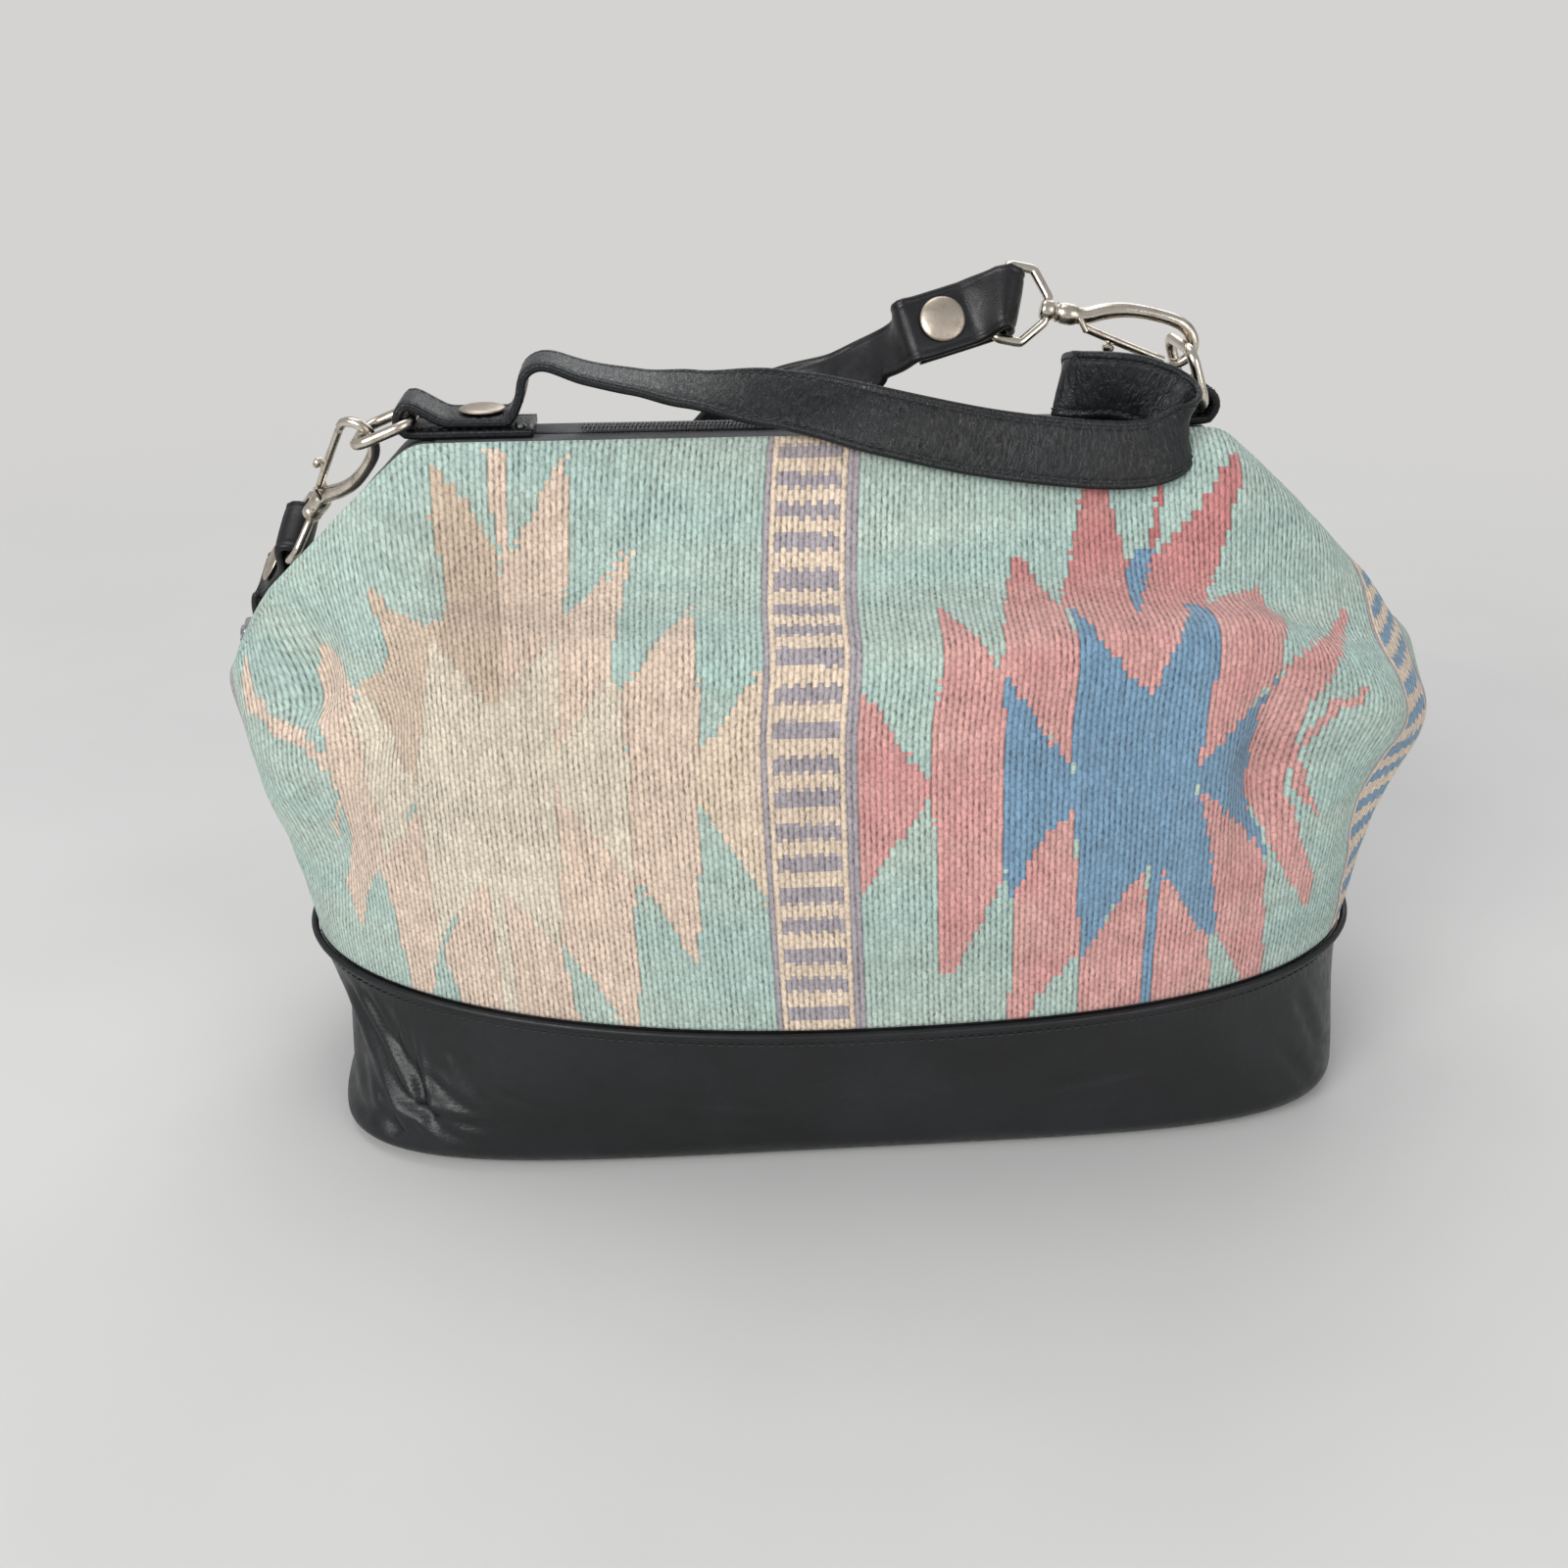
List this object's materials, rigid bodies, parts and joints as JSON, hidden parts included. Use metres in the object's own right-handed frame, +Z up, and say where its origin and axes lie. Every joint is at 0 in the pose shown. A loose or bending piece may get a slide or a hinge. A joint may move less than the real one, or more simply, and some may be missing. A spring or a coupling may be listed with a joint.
{
  "type": "hinged-frame satchel bag",
  "caption": "Doctor-style satchel: flat-woven kilim body on a black leather base, hinged steel frame with a zip, riveted carrying handle and a clip-on shoulder strap.",
  "frame": {"origin": "middle of the flat base bottom, the face the bag stands on", "axes": "+X along the bag to its right as seen from the front, -Y out of the front face with the folded-over handle, +Z up"},
  "size_m": [0.4064, 0.189, 0.2791],
  "materials": {
    "kilim_wool": "flat-woven wool, ribbed, matt",
    "black_leather": "smooth, half matt",
    "grained_leather": "fine grain, half matt",
    "lining_cloth": "plain weave, matt",
    "zip_tape_cloth": "woven tape, matt",
    "zip_coil_nylon": "satin",
    "base_board_fibre": "matt fibre board",
    "frame_steel": "drawn",
    "nickel": "warm nickel plate, soft polish"
  },
  "bodies": {
    "bag": {"leather_base": "black_leather", "base_board": "base_board_fibre", "base_welt": "black_leather", "front_kilim_panel": "kilim_wool", "rear_kilim_panel": "kilim_wool", "front_lining": "lining_cloth", "rear_lining": "lining_cloth", "left_hinge_pin": "frame_steel", "right_hinge_pin": "frame_steel", "shoulder_strap": "black_leather", "left_strap_cap": "nickel", "right_strap_cap": "nickel"},
    "front_frame": {"front_frame_rod": "frame_steel", "front_channel": "black_leather", "front_zip_tape": "zip_tape_cloth", "front_zip_coil": "zip_coil_nylon", "handle_strap": "grained_leather", "left_handle_cap": "nickel", "right_handle_cap": "nickel", "left_handle_rivet": "frame_steel", "right_handle_rivet": "frame_steel"},
    "rear_frame": {"rear_frame_rod": "frame_steel", "rear_channel": "black_leather", "rear_zip_tape": "zip_tape_cloth", "rear_zip_coil": "zip_coil_nylon"},
    "slider": {"zip_slider": "nickel"},
    "pull": {"zip_pull": "nickel"},
    "left_ring": {"left_ring": "nickel"},
    "left_hook": {"left_hook": "nickel"},
    "left_gate": {"left_gate": "nickel"},
    "left_swivel": {"left_swivel_loop": "nickel"},
    "right_ring": {"right_ring": "nickel"},
    "right_hook": {"right_hook": "nickel"},
    "right_gate": {"right_gate": "nickel"},
    "right_swivel": {"right_swivel_loop": "nickel"}
  },
  "joints": [
    {"name": "front_frame_open", "type": "hinge", "parent": "bag", "child": "front_frame", "pos_m": [0, 0, 0.162], "axis": [1, 0, 0], "range_deg": [0, 45], "deforming": ["front_kilim_panel", "front_lining", "shoulder_strap"]},
    {"name": "rear_frame_open", "type": "hinge", "parent": "bag", "child": "rear_frame", "pos_m": [0, 0, 0.162], "axis": [-1, 0, 0], "range_deg": [0, 45], "deforming": ["rear_kilim_panel", "rear_lining", "shoulder_strap"]},
    {"name": "zip_slide", "type": "slide", "parent": "rear_frame", "child": "slider", "axis": [1, 0, 0], "range_m": [-0.096, 0]},
    {"name": "zip_pull_lift", "type": "hinge", "parent": "slider", "child": "pull", "pos_m": [0.032, 0, 0.2324], "axis": [0, 1, 0], "range_deg": [0, 150]},
    {"name": "left_ring_pivot", "type": "hinge", "parent": "front_frame", "child": "left_ring", "pos_m": [-0.129, 0.002, 0.2334], "axis": [0, 1, 0], "range_deg": [0, 90], "deforming": ["shoulder_strap"]},
    {"name": "left_hook_pivot", "type": "hinge", "parent": "left_ring", "child": "left_hook", "pos_m": [-0.14665, 0.002, 0.22638], "axis": [0, 1, 0], "range_deg": [0, 90], "deforming": ["shoulder_strap"]},
    {"name": "left_gate_spring", "type": "hinge", "parent": "left_hook", "child": "left_gate", "pos_m": [-0.16451, 0.01744, 0.20656], "axis": [0.3546, 0.8652, 0.3546], "range_deg": [0, 15], "stiffness_Nm_per_rad": 0.02, "springref_deg": -11.46},
    {"name": "left_swivel_turn", "type": "hinge", "parent": "left_hook", "child": "left_swivel", "pos_m": [-0.16792, 0.02251, 0.19759], "axis": [0.5528, -0.4998, 0.6668], "continuous": true, "deforming": ["shoulder_strap"]},
    {"name": "right_ring_pivot", "type": "hinge", "parent": "front_frame", "child": "right_ring", "pos_m": [0.119, 0.002, 0.2334], "axis": [0, 1, 0], "range_deg": [0, 120], "deforming": ["shoulder_strap"]},
    {"name": "right_hook_pivot", "type": "hinge", "parent": "right_ring", "child": "right_hook", "pos_m": [0.11237, 0.002, 0.25121], "axis": [0, 1, 0], "range_deg": [0, 90], "deforming": ["shoulder_strap"]},
    {"name": "right_gate_spring", "type": "hinge", "parent": "right_hook", "child": "right_gate", "pos_m": [0.08213, 0.00597, 0.25567], "axis": [-0.1302, -0.9915, 0], "range_deg": [0, 15], "stiffness_Nm_per_rad": 0.02, "springref_deg": -11.46},
    {"name": "right_swivel_turn", "type": "hinge", "parent": "right_hook", "child": "right_swivel", "pos_m": [0.07255, 0.00723, 0.26059], "axis": [0.9753, -0.128, -0.18], "continuous": true, "deforming": ["shoulder_strap"]}
  ]
}
